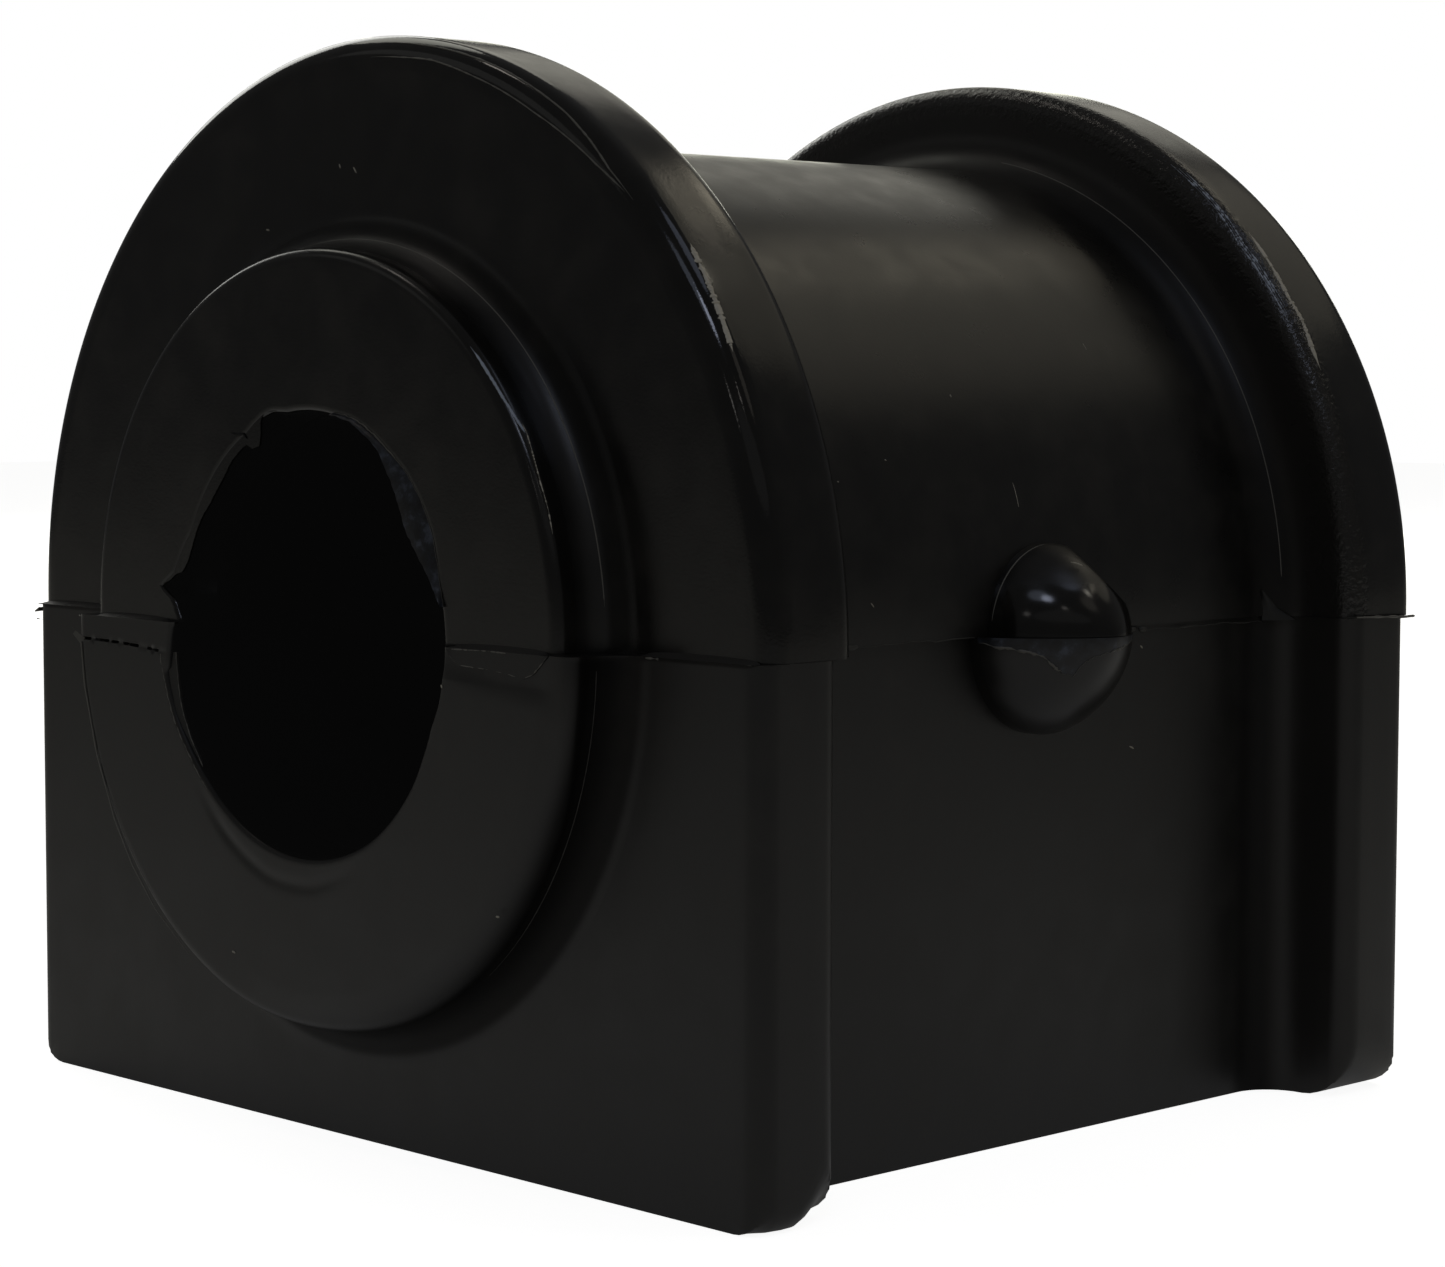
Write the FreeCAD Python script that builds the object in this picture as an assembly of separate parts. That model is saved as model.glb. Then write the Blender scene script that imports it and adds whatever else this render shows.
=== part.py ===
import FreeCAD, Part
import math
import os

# Stabiliser bar bushing, one solid of black moulded rubber.
# Millimetres. The origin is on the bore axis at mid length, Y runs along the bore,
# Z is up, the flat base faces down and the locating nub points to +X.
# The mould parts in the plane of the bore axis, and its two halves closed out of line.

# Bore and the slit that lets the bushing open over the bar
bore_diameter = 28.0
slit_width = 0.3
slit_drop = 2.0

# Body with an arched top, whose centre lies above the parting plane
axis_height = 32.8
arch_rise = 0.5
body_radius = 30.95
lower_body_half_width = 30.2

# Flange at each end
flange_span = 62.4
flange_thickness = 7.2
lower_flange_thickness = 6.6
flange_step = 6.25
lower_flange_half_width = 37.0
rim_radius = 1.5
flange_corner_radius = 2.0
# The corner's round is set out this much, so it crosses the flange's side instead of touching it
corner_margin = 0.02
flange_root_radius = 3.0

# Round collar on the outer face of each flange
collar_height = 4.2
upper_collar_radius = 23.75
lower_collar_radius = 25.3
collar_edge_radius = 0.7
collar_root_radius = 2.6

# Locating nub on one side
nub_radius = 6.1
nub_height = 5.9
nub_draft = 0.5
nub_crown_radius = 5.0

# Mould slip between the halves, and the thin fin that it squeezed out
slip_along = 0.8
slip_across = 0.3
fin_width = 0.6
fin_thickness = 0.3

# Places that follow from the sizes
face_y = flange_span / 2
inner_y = face_y - flange_thickness
lower_inner_y = face_y - lower_flange_thickness
end_y = face_y + collar_height
flange_radius = body_radius + flange_step

UP = FreeCAD.Vector(0, 0, 1)
ALONG = FreeCAD.Vector(0, 1, 0)
ACROSS = FreeCAD.Vector(1, 0, 0)


def rounded_wire(corners):
    """Closed wire in the XY plane through (x, y, radius) corners, each rounded by its radius."""
    edges = []
    last = None
    first = None
    count = len(corners)
    for i, (x, y, radius) in enumerate(corners):
        here = FreeCAD.Vector(x, y, 0)
        back = (FreeCAD.Vector(corners[i - 1][0], corners[i - 1][1], 0) - here).normalize()
        ahead = (FreeCAD.Vector(*corners[(i + 1) % count][:2], 0) - here).normalize()
        if radius > 0:
            half = back.getAngle(ahead) / 2
            reach = radius / math.tan(half)
            start = here + back * reach
            end = here + ahead * reach
            bisector = (back + ahead).normalize()
            middle = here + bisector * (radius / math.sin(half) - radius)
            arc = Part.Arc(start, middle, end).toShape()
        else:
            start = end = here
            arc = None
        if last is not None and last.distanceToPoint(start) > 1e-7:
            edges.append(Part.makeLine(last, start))
        if arc:
            edges.append(arc)
        if first is None:
            first = start
        last = end
    edges.append(Part.makeLine(last, first))
    return Part.Wire(edges)


def mirrored(rows):
    """A half outline from the middle to the +Y end, with its mirror image before it."""
    return [(x, -y, r) for x, y, r in reversed(rows)] + rows


def flange_rows(body_half, flange_half, inner):
    """Body side, inner root and rim of one flange, as (x, y, radius) corners."""
    return [
        (body_half, inner, flange_root_radius),
        (flange_half, inner, rim_radius),
        (flange_half, face_y, rim_radius),
    ]


def plan_face(rows):
    """Face in the XY plane inside a half outline, its mirror in Y, and both their mirrors in X."""
    right = mirrored(rows)
    left = [(-x, y, r) for x, y, r in reversed(right)]
    return Part.Face(rounded_wire(right + left))


def upper_half():
    """Outline from the body out to the collar, turned half round over the top of a straight band."""
    rows = flange_rows(body_radius, flange_radius, inner_y) + [
        (upper_collar_radius, face_y, collar_root_radius),
        (upper_collar_radius, end_y, collar_edge_radius),
    ]
    outline = rounded_wire(mirrored(rows + [(0, end_y, 0)]))
    arch = Part.Face(outline).revolve(FreeCAD.Vector(), ALONG, -180)
    arch.translate(UP * arch_rise)
    band = plan_face(rows).extrude(UP * arch_rise)
    return arch.fuse(band).removeSplitter()


def collar_below(side):
    """Lower half of one collar; side is 1 or -1 along Y."""
    root_reach = lower_collar_radius + collar_root_radius
    rows = [
        (0, inner_y, 0),
        (root_reach, inner_y, 0),
        (root_reach, face_y, 0),
        (lower_collar_radius, face_y, collar_root_radius),
        (lower_collar_radius, end_y, collar_edge_radius),
        (0, end_y, 0),
    ]
    outline = rounded_wire([(x, side * y, r) for x, y, r in rows])
    return Part.Face(outline).revolve(FreeCAD.Vector(), ALONG, 180)


def lower_half():
    """Plan outline carried down to the base, with rounded bottom corners and the lower collars."""
    rows = flange_rows(lower_body_half_width, lower_flange_half_width, lower_inner_y)
    block = plan_face(rows).extrude(-UP * axis_height)
    reach = lower_flange_half_width + corner_margin
    section = rounded_wire([
        (reach, 0, 0),
        (reach, axis_height, flange_corner_radius),
        (-reach, axis_height, flange_corner_radius),
        (-reach, 0, 0),
    ])
    section.rotate(FreeCAD.Vector(), ACROSS, -90)
    section.translate(-ALONG * end_y)
    corners = Part.Face(section).extrude(ALONG * (2 * end_y))
    block = block.common(corners)
    return block.fuse([collar_below(1), collar_below(-1)]).removeSplitter()


def nub_half(start_angle):
    """Half of the domed nub on the body's side, its flat cut on the parting plane."""
    seat = body_radius - nub_radius
    tip = body_radius + nub_height
    outline = rounded_wire([
        (seat, 0, 0),
        (seat, nub_radius, 0),
        (body_radius, nub_radius, 0),
        (tip, nub_radius - nub_draft, nub_crown_radius),
        (tip, 0, 0),
    ])
    outline.rotate(FreeCAD.Vector(), ACROSS, start_angle)
    return Part.Face(outline).revolve(FreeCAD.Vector(), ACROSS, 180)


def fin(side):
    """Thin fin of rubber squeezed out of the mould joint round one flange's sides."""
    reach = flange_radius + fin_width
    near, far = side * inner_y, side * face_y
    outline = rounded_wire([
        (reach, near, rim_radius), (reach, far, rim_radius),
        (-reach, far, rim_radius), (-reach, near, rim_radius),
    ])
    outline.translate(-UP * (fin_thickness / 2))
    return Part.Face(outline).extrude(UP * fin_thickness)


def moulding():
    """Both halves with their slip, the nub, the fins, the bore and the slit."""
    slip = ALONG * (slip_along / 2) - ACROSS * (slip_across / 2)
    above = upper_half().fuse(nub_half(0))
    above.translate(slip)
    below = lower_half().fuse(nub_half(180))
    below.translate(-slip)
    solid = above.fuse([below, fin(1), fin(-1)])
    length = 4 * end_y
    bore = Part.makeCylinder(bore_diameter / 2, length, -ALONG * (length / 2), ALONG)
    reach = 2 * flange_radius
    slit = Part.makeBox(reach, length, slit_width)
    slit.translate(FreeCAD.Vector(-reach, -length / 2, -slit_drop - slit_width / 2))
    return solid.cut([bore, slit]).removeSplitter()


os.makedirs("parts", exist_ok=True)
bushing = moulding()
bushing.exportStep("parts/bushing.step")
print("bushing", len(bushing.Solids), "solid, valid", bushing.isValid(), "volume", round(bushing.Volume))
print("box", bushing.BoundBox)
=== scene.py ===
import math
import bpy
import numpy as np
from mathutils import Matrix, Vector


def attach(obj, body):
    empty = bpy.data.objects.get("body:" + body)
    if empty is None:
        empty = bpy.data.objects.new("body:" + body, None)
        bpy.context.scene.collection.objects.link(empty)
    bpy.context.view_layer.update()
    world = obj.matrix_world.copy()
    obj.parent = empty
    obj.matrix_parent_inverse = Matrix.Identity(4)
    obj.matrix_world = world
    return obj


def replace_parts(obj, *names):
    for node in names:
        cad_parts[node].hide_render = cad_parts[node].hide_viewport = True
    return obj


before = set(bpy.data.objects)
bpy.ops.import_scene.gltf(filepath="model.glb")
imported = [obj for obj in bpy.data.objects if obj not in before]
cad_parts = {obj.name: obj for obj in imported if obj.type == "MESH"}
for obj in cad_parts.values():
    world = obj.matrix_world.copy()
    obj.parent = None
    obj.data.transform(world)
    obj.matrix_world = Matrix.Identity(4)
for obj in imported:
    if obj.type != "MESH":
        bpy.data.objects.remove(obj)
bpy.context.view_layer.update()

# Sizes of the bushing in millimetres. X points out through the nub, Y along the bore, Z up.
MM = 0.001
BORE_R = 14.0
AXIS_HEIGHT = 32.8
ARCH_RISE = 0.5
BODY_R = 30.95
LOWER_BODY_HALF = 30.2
FLANGE_R = 37.2
LOWER_FLANGE_HALF = 37.0
FACE_Y = 31.2
INNER_Y = 24.0
LOWER_INNER_Y = 24.6
END_Y = 35.4
ROOT_R = 3.0
RIM_R = 1.5
CORNER_R = 2.0
COLLAR_UP_R = 23.75
COLLAR_LOW_R = 25.3
COLLAR_ROOT_R = 2.6
COLLAR_EDGE_R = 0.7
MOUTH_EDGE_R = 0.3
# Half of the slip between the mould halves: the upper half goes this way, the lower the other
SLIP_X = -0.15
SLIP_Y = 0.4
SLIT_DROP = 2.0
# The lower front end face sits this much deeper, so that its flash stays inside the part's box
SET_BACK = 0.06
# The dome's height, and its radius and superellipse power on the lower and the upper half
NUB_HEIGHT = 5.85
NUB_RADIUS = (6.5, 5.7)
NUB_POWER = (1.5, 1.65)
# Flat that cuts the upper half's far shoulder: its direction, and its distance from the origin
NUB_FLAT = (0.49, 0.51, 0.707)
NUB_FLAT_AT = 20.0
# How deep the nub is seated in the body, and how much of the shoulder the flat takes away
NUB_SEAT = 3.0
NUB_FLAT_SHARE = 0.85
# Front end faces and front flange faces of the two halves, and the way that they face
FRONT_UP = -END_Y + SLIP_Y
FRONT_LOW = -END_Y - SLIP_Y + SET_BACK
FACE_UP = -FACE_Y + SLIP_Y
FACE_LOW = -FACE_Y - SLIP_Y
TOWARDS = (0.0, -1.0, 0.0)


def unit(v):
    """Vectors along the last axis, each scaled to length 1."""
    return v / np.linalg.norm(v, axis=-1, keepdims=True)


def smooth(x, a, b):
    """0 below a, 1 above b, and a smooth rise between them."""
    t = np.clip((np.asarray(x, float) - a) / (b - a), 0.0, 1.0)
    return t * t * (3.0 - 2.0 * t)


def noise_line(x, seed):
    """Smooth noise along a line, about -1 to 1: cosine-blended random values at whole steps of x, in
    four octaves. Each is twice as fine and half as strong, and starts in another place."""
    cells, octaves, start, scale = 4096, 4, 17.3, 1.6
    rng = np.random.default_rng(seed)
    total = np.zeros_like(np.asarray(x, float))
    weight = 1.0
    for _ in range(octaves):
        values = rng.uniform(-1.0, 1.0, cells)
        cell = np.floor(x).astype(int)
        t = (1.0 - np.cos((x - cell) * math.pi)) / 2.0
        total = total + weight * (values[cell % cells] * (1.0 - t) + values[(cell + 1) % cells] * t)
        weight *= 0.5
        x = x * 2.0 + start
    return total / scale


def uneven(count, waves, seed, lift):
    """Uneven strength from 0 to 1 along a line: noise with so many waves, lifted and cut off."""
    return np.clip(noise_line(np.linspace(0.0, waves, count), seed) + lift, 0.0, 1.0)


def swell(count):
    """0 at both ends of a line and 1 in the middle, by half a sine wave."""
    return np.sin(np.linspace(0.0, math.pi, count))


def along(places, count):
    """Even samples along the line through the given places."""
    places = np.asarray(places, float)
    steps = np.r_[0.0, np.cumsum(np.linalg.norm(np.diff(places, axis=0), axis=1))]
    spots = np.linspace(0.0, steps[-1], count)
    return np.stack([np.interp(spots, steps, column) for column in places.T], -1)


def polar(places, count, y, wobble=0.0, seed=1):
    """Samples of a line round the bore given as (degrees, radius) places, at one depth."""
    spots = np.asarray(places, float)
    angle = np.linspace(spots[0, 0], spots[-1, 0], count)
    order = np.argsort(spots[:, 0])
    radius = np.interp(angle, spots[order, 0], spots[order, 1])
    radius = radius + wobble * noise_line(np.abs(angle) * 0.8, seed)
    turn = np.radians(angle)
    return np.stack([radius * np.cos(turn), np.full(count, y), radius * np.sin(turn)], -1)


def at_y(spots, y):
    """Points in space from (x, z) spots, all at one y."""
    return np.stack([spots[:, 0], np.full(len(spots), y), spots[:, 1]], -1)


def grid_faces(rows, columns, closed):
    """Quads of a grid of points numbered row by row. Each row is a ring, and if the grid is closed
    the last row joins the first."""
    r, c = np.meshgrid(np.arange(rows if closed else rows - 1), np.arange(columns), indexing="ij")
    r2, c2 = (r + 1) % rows, (c + 1) % columns
    quads = np.stack([r * columns + c, r * columns + c2, r2 * columns + c2, r2 * columns + c], -1)
    return quads.reshape(-1, 4).tolist()


def piece(name, points, faces, material, sharp_angle=38.0):
    """One closed mesh from points in millimetres, with its faces turned outwards."""
    points = np.asarray(points, float).reshape(-1, 3) * MM
    mesh = bpy.data.meshes.new(name)
    mesh.from_pydata(points.tolist(), [], faces)
    mesh.validate()
    mesh.calc_loop_triangles()
    tris = np.empty(len(mesh.loop_triangles) * 3, int)
    mesh.loop_triangles.foreach_get("vertices", tris)
    corners = points[tris.reshape(-1, 3)]
    volume = np.einsum("ij,ij->i", corners[:, 0], np.cross(corners[:, 1], corners[:, 2])).sum() / 6.0
    if volume < 0:
        mesh.flip_normals()
    mesh.polygons.foreach_set("use_smooth", np.ones(len(mesh.polygons), bool))
    mesh.set_sharp_from_angle(angle=math.radians(sharp_angle))
    mesh.materials.append(material)
    obj = bpy.data.objects.new(name, mesh)
    bpy.context.scene.collection.objects.link(obj)
    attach(obj, "root")
    return obj


def tube(name, rings, material, sharp_angle=50.0):
    """A closed piece through rings of points (ring, point, xyz), with a flat cap at each end."""
    rings = np.asarray(rings, float)
    n, m = rings.shape[:2]
    faces = grid_faces(n, m, False)
    faces.append(list(range(m)))
    faces.append(list(range(n * m - 1, (n - 1) * m - 1, -1)))
    return piece(name, rings, faces, material, sharp_angle)


def bead(name, path, radius, material):
    """A thin round bead along a path, its radius given at every point of the path."""
    path = np.asarray(path, float)
    tangent = unit(np.gradient(path, axis=0))
    up = unit(np.cross(tangent, np.array([0.3, 1.0, 0.2])))
    side = np.cross(tangent, up)
    turn = np.linspace(0.0, 2 * math.pi, 9)[:-1, None]
    reach = np.broadcast_to(radius, len(path))[:, None, None]
    rings = path[:, None] + reach * (np.cos(turn) * up[:, None] + np.sin(turn) * side[:, None])
    return tube(name, rings, material, 80.0)


def film(name, root, edge, normal, thick, material, bulge=0.0):
    """A thin film whose front runs from a root line to a free edge, bulged along its normal by the
    sine of the way across. It is thick at the root and a third of that at the edge."""
    root, edge = np.asarray(root, float), np.asarray(edge, float)
    normal = np.broadcast_to(np.asarray(normal, float), root.shape)
    share = np.linspace(0.0, 1.0, 6)
    front = [root + (edge - root) * s + normal * bulge * math.sin(math.pi * s) for s in share]
    back = [f - normal * thick * (1 - 0.65 * s) for f, s in zip(front, share)]
    return tube(name, np.stack(front + back[::-1], 1), material)


def srgb(text):
    """A hex colour as linear light."""
    values = [int(text[i:i + 2], 16) / 255.0 for i in (1, 3, 5)]
    return tuple(v / 12.92 if v <= 0.04045 else ((v + 0.055) / 1.055) ** 2.4 for v in values) + (1.0,)


def node(tree, kind, inputs=(), stops=(), **settings):
    """Adds one shader node with its settings and a ramp's stops. Each of its inputs, in order or by
    name, is a value, a socket to link, or a node whose first output is linked."""
    made = tree.nodes.new("ShaderNode" + kind)
    row, column = divmod(len(tree.nodes), 10)
    made.location = (column * 200, -row * 300)
    for key, value in settings.items():
        setattr(made, key, value)
    for i, (place, value) in enumerate(stops):
        elements = made.color_ramp.elements
        element = elements[i] if i < len(elements) else elements.new(place)
        element.position, element.color = place, value
    for key, value in inputs.items() if isinstance(inputs, dict) else enumerate(inputs):
        if isinstance(value, bpy.types.Node):
            value = value.outputs[0]
        if isinstance(value, bpy.types.NodeSocket):
            tree.links.new(value, made.inputs[key])
        else:
            made.inputs[key].default_value = value
    return made


def band(tree, source, rise=None, fall=None):
    """A mask with soft edges in millimetres: up to 1 over the rise, and back to 0 over the fall."""
    made = None
    for edge, ends in ((rise, (0.0, 1.0)), (fall, (1.0, 0.0))):
        if edge:
            step = node(tree, "MapRange", [source, edge[0] * MM, edge[1] * MM, *ends],
                        interpolation_type="SMOOTHSTEP")
            made = node(tree, "Math", [made, step], operation="MULTIPLY") if made else step
    return made


def weighted(tree, total, terms):
    """The total with each mask times its weight added to it."""
    for part, weight in terms:
        total = node(tree, "Math", [part, weight, total], operation="MULTIPLY_ADD")
    return total


def new_material(name):
    """An empty node material and its tree."""
    material = bpy.data.materials.new(name)
    material.use_nodes = True
    material.node_tree.nodes.clear()
    return material, material.node_tree


# Patterns in the skin as waves per millimetre, detail and roughness: cloudy patches of release
# agent 12 mm across, smears of 3 mm, the mould's texture of 0.4 mm and fine dust of 0.2 mm
CLOUD = (0.08, 5.0, 0.62)
SMEAR = (0.33, 4.0, 0.6)
SKIN = (2.4, 3.0, 0.5)
GRAIN = (5.2, 2.0, 0.5)
# Middle of a painted glint, a lamp's reflection painted as a pale patch on the front flange's
# outside, about 4 mm across
GLINT_AT = (28.14, -27.0, 24.66)
# A scuff height that nothing reaches
UNSCUFFED = 1000.0


def rubber_material(name, glossy, matt, relief, scuff):
    """Moulded black rubber. The upper mould half left a glossy skin and the lower one a matt skin,
    with cloudy patches of release agent. The front rim is the most polished part, the body's skin is
    softer, the rear rim has orange peel, and the roots and the bore are dull. Painted shade darkens
    the foot of the lower collar and the bore, painted light brightens the rear flange's inner wall, a
    painted glint lies on the front flange's outside, and the bore has a faint painted glow. Glossy and
    matt are the roughness of the two halves, relief is the strength of the mould's grain, and the
    skin is matt again above the scuff height."""
    material, tree = new_material(name)
    place = node(tree, "TexCoord").outputs["Object"]
    cloud, smear, skin, grain = (
        node(tree, "TexNoise", {"Vector": place, "Scale": waves / MM, "Detail": detail, "Roughness": rough})
        for waves, detail, rough in (CLOUD, SMEAR, SKIN, GRAIN))
    split = node(tree, "SeparateXYZ", [place])
    height = split.outputs["Z"]
    flat = node(tree, "CombineXYZ", {"X": split.outputs["X"], "Z": height})
    radius = node(tree, "VectorMath", [flat], operation="LENGTH").outputs["Value"]
    upper = band(tree, height, (-0.4, 0.4))
    lower = band(tree, height, None, (-0.4, 0.4))
    polished = band(tree, height, (-0.4, 0.4), (scuff, scuff + 0.7))
    # Distance from mid length, free of the slip between the halves
    unslipped = weighted(tree, split.outputs["Y"], [(upper, -2 * SLIP_Y * MM)])
    centred = node(tree, "Math", [unslipped, SLIP_Y * MM], operation="ADD")
    depth = node(tree, "Math", [centred], operation="ABSOLUTE")
    # Where the skin differs: bore, rims, body, the flange's root and inner wall, and the collar's root
    at_end = band(tree, depth, (END_Y - 0.3, END_Y - 0.1))
    off_bore = band(tree, radius, (BORE_R + 3.6, BORE_R + 3.8))
    outside_bore = node(tree, "Math", [at_end, off_bore], operation="MAXIMUM")
    # Painted shade: the bore is darkened in colour, and it gets a faint painted glow
    inside_bore = node(tree, "Math", [1.0, outside_bore], operation="SUBTRACT")
    on_rim = band(tree, radius, (FLANGE_R - 2.0, FLANGE_R - 1.4))
    rear_edge = band(tree, centred, (INNER_Y - 1.0, INNER_Y), (INNER_Y + 1.2, INNER_Y + 2.0))
    rear_rim = node(tree, "Math", [on_rim, rear_edge], operation="MULTIPLY")
    front_edge = band(tree, centred, None, (RIM_R - FACE_Y, RIM_R - FACE_Y + 0.5))
    front_rim = node(tree, "Math", [on_rim, front_edge], operation="MULTIPLY")
    on_body = band(tree, depth, None, (INNER_Y - ROOT_R, INNER_Y))
    rear_root = band(tree, centred, (INNER_Y - 3.5, INNER_Y - 2.0), (INNER_Y - 0.4, INNER_Y + 0.4))
    # Painted light: the rear flange's inner wall is lightened in colour
    painted_light_wall = band(tree, centred, (INNER_Y - 0.7, INNER_Y - 0.1), (INNER_Y + 0.9, INNER_Y + 1.6))
    foot = band(tree, depth, (FACE_Y, FACE_Y + 0.3), (FACE_Y + 2.4, FACE_Y + 2.8))
    low_end = (FACE_Y + 3.0, FACE_Y + 4.0)
    # Painted shade: the foot of the lower collar is darkened in colour
    deep_foot = band(tree, depth, (FACE_Y + 0.1, FACE_Y + 1.5), low_end)
    painted_shade_foot = node(tree, "Math", [lower, deep_foot], operation="MULTIPLY")
    collar_start = (FACE_Y, FACE_Y + 0.2)
    collar_root = weighted(tree, 0.0, [
        (upper, band(tree, depth, collar_start, (FACE_Y + 0.6, FACE_Y + 1.0))),
        (lower, band(tree, depth, collar_start, low_end))])
    # Painted glint: a lamp's reflection painted as a pale patch on the front flange's outside, broken up by
    # the smears
    away = node(tree, "VectorMath", [place, [v * MM for v in GLINT_AT]], operation="DISTANCE")
    near_glint = band(tree, away.outputs["Value"], None, (0.6, 2.7))
    glint_breakup = node(tree, "MapRange", [smear, 0.36, 0.6], interpolation_type="SMOOTHSTEP")
    painted_glint = node(tree, "Math", [near_glint, glint_breakup], operation="MULTIPLY")
    # Colour: warm black in patches, then painted shade on the lower foot, painted light on the rear
    # wall, the painted glint, and painted shade in the bore
    patches = weighted(tree, 0.0, [(cloud, 0.5), (smear, 0.5)])
    tones = [(0.35, srgb("#121110")), (0.5, srgb("#181715")), (0.68, srgb("#24221f"))]
    colour = node(tree, "ValToRGB", [patches], tones).outputs["Color"]
    for share, strength, shade in ((painted_shade_foot, 0.5, "#070707"), (painted_light_wall, 0.8, "#2b2926"),
                                   (painted_glint, 1.0, "#57524a"), (inside_bore, 1.0, "#0e0e0d")):
        part = node(tree, "Math", [share, strength], operation="MULTIPLY")
        colour = node(tree, "Mix", {0: part, 6: colour, 7: srgb(shade)}, data_type="RGBA").outputs[2]
    # Gloss: the roots are rougher, the front rim smoother, and smears dull the skin
    spread = node(tree, "MapRange", [patches, 0.36, 0.66], interpolation_type="SMOOTHSTEP")
    gloss = weighted(tree, glossy - matt, [(on_body, 0.1), (front_rim, -0.12)])
    rough = weighted(tree, matt, [(foot, 0.17), (rear_root, 0.17), (spread, 0.08), (polished, gloss)])
    # Relief: orange peel on the rear rim, and a trace of grain elsewhere
    peel = node(tree, "Math", [rear_rim, polished], operation="MULTIPLY")
    coarse, fine = (weighted(tree, trace * relief, [(peel, 0.8 * relief)]) for trace in (0.03, 0.12))
    bump = node(tree, "Bump", {"Strength": coarse, "Distance": 0.1 * MM, "Height": skin})
    bump = node(tree, "Bump", {"Strength": fine, "Distance": 0.03 * MM, "Height": grain, "Normal": bump})
    # Dull places reflect less, and the bore has a faint painted glow
    dulled = weighted(tree, 0.5, [(rear_root, -0.25), (collar_root, -0.3), (painted_shade_foot, -0.08)])
    shine = node(tree, "Math", [dulled, weighted(tree, 0.1, [(outside_bore, 0.9)])], operation="MULTIPLY")
    painted_bore_glow = node(tree, "Math", [inside_bore, 0.0017], operation="MULTIPLY")
    shader = node(tree, "BsdfPrincipled", {
        "Base Color": colour, "Roughness": rough, "IOR": 1.5, "Specular IOR Level": shine,
        "Normal": bump, "Emission Color": srgb("#ffffff"), "Emission Strength": painted_bore_glow})
    node(tree, "OutputMaterial", [shader])
    return material


def plain_material(name, colour, roughness):
    """A finish of one colour and one roughness."""
    material, tree = new_material(name)
    shader = node(tree, "BsdfPrincipled", {"Base Color": srgb(colour), "Roughness": roughness, "IOR": 1.5})
    node(tree, "OutputMaterial", [shader])
    return material


def film_material(name):
    """Thin stretched rubber at the bore's mouth and on the nub: dark, with pale bluish streaks about
    1 mm apart, a painted sheen of bluish lamp light."""
    material, tree = new_material(name)
    place = node(tree, "TexCoord").outputs["Object"]
    streak = node(tree, "TexNoise", {"Vector": place, "Scale": 0.9 / MM, "Detail": 4.0, "Roughness": 0.65})
    tone = node(tree, "ValToRGB", [streak], [(0.4, srgb("#111113")), (0.55, srgb("#24272d")),
                                             (0.68, srgb("#4a505c"))])
    shader = node(tree, "BsdfPrincipled", {"Base Color": tone, "Roughness": 0.4, "IOR": 1.5})
    node(tree, "OutputMaterial", [shader])
    return material


# Moulded rubber: a clear gloss above the parting line and a soft sheen below it
RUBBER = rubber_material("moulded_rubber", 0.17, 0.36, 1.0, UNSCUFFED)
# Rubber from a polished insert: sharp lamp reflections up to a scuffed crown, and a soft lower half
NUB_SKIN = rubber_material("polished_rubber", 0.0, 0.3, 0.15, 2.9)
# Torn rubber: a dull, dark grey edge
TORN = plain_material("torn_rubber_edge", "#3a3935", 0.6)
# Painted highlight: a pale grey line on thin edges, flash and mould lines, standing in for the lamp light
# that they catch
EDGE_HIGHLIGHT = plain_material("thin_edge_painted_highlight", "#6d6b64", 0.4)
# Stretched rubber film: dark grey with a painted bluish sheen
FILM_SHEEN = film_material("thin_film_painted_sheen")
# Flash in the rear corner: nearly as dark as the skin, without its gloss
WEB = plain_material("web_of_flash", "#181816", 0.6)
# Soft flash over the ledge and round the lower mouth: a grey painted lighter than the skin, painted light in
# place of the shade between the two skins
LIGHTENED_FLASH = plain_material("soft_flash_painted_light", "#2b2a27", 0.6)
# Painted highlight on a small tab of flash: a grey point
TAB = plain_material("lit_tab_of_flash", "#4e4d48", 0.5)
# Painted shade in a deep crack: black, with no shine
SHADE = plain_material("painted_crack_shade", "#020202", 0.9)
# Lint: matt off-white fibres
LINT = plain_material("lint", "#b9b4a6", 0.8)
# Painted highlights: warm and bluish glints of the lamps on the skin
WARM_GLINT = plain_material("painted_warm_glint", "#cbc5b5", 0.4)
BLUISH_GLINT = plain_material("painted_bluish_glint", "#b3bcca", 0.4)

# The shell's rows run along its outline and its columns round the bore. These are the parts of each
# straight run and of each arc of the outline, and the columns over the arch
RUNS = (14, 2, 4, 14, 2, 44, 14)
ARCS = (9, 10, 10, 8, 5, 4)
ARCH_COLUMNS = 207
# Columns of the lower half: depths on the side, close together at the slit, then shares of the way
# down to the corner, the corner's arc, and shares of the way over the base
NEAR_Z = np.array([0.0, 0.5, 1.1, 1.6, 1.89, 2.0, 2.11, 2.4, 3.0])
DOWN = np.linspace(0.0, 1.0, 30)[1:]
BEND = np.linspace(0.0, math.pi / 2, 9)[1:]
ACROSS = np.linspace(-1.0, 1.0, 53)[1:-1]
# Radii of the flanges' bottom corners, on the slit's side and on the rear of the nub's side
SLIT_CORNER_R = 3.0
REAR_CORNER_R = 3.6
# Body, flange, inner wall and collar of each half
UPPER = (BODY_R, FLANGE_R, INNER_Y, COLLAR_UP_R)
LOWER = (LOWER_BODY_HALF, LOWER_FLANGE_HALF, LOWER_INNER_Y, COLLAR_LOW_R)
# Deepest places of the slit's groove, of the dent below the front mouth and of the step under the
# flash on the right
GROOVE_DEPTH = 0.45
DENT_DEPTH = 0.07
STEP_DEPTH = 0.09
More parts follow.
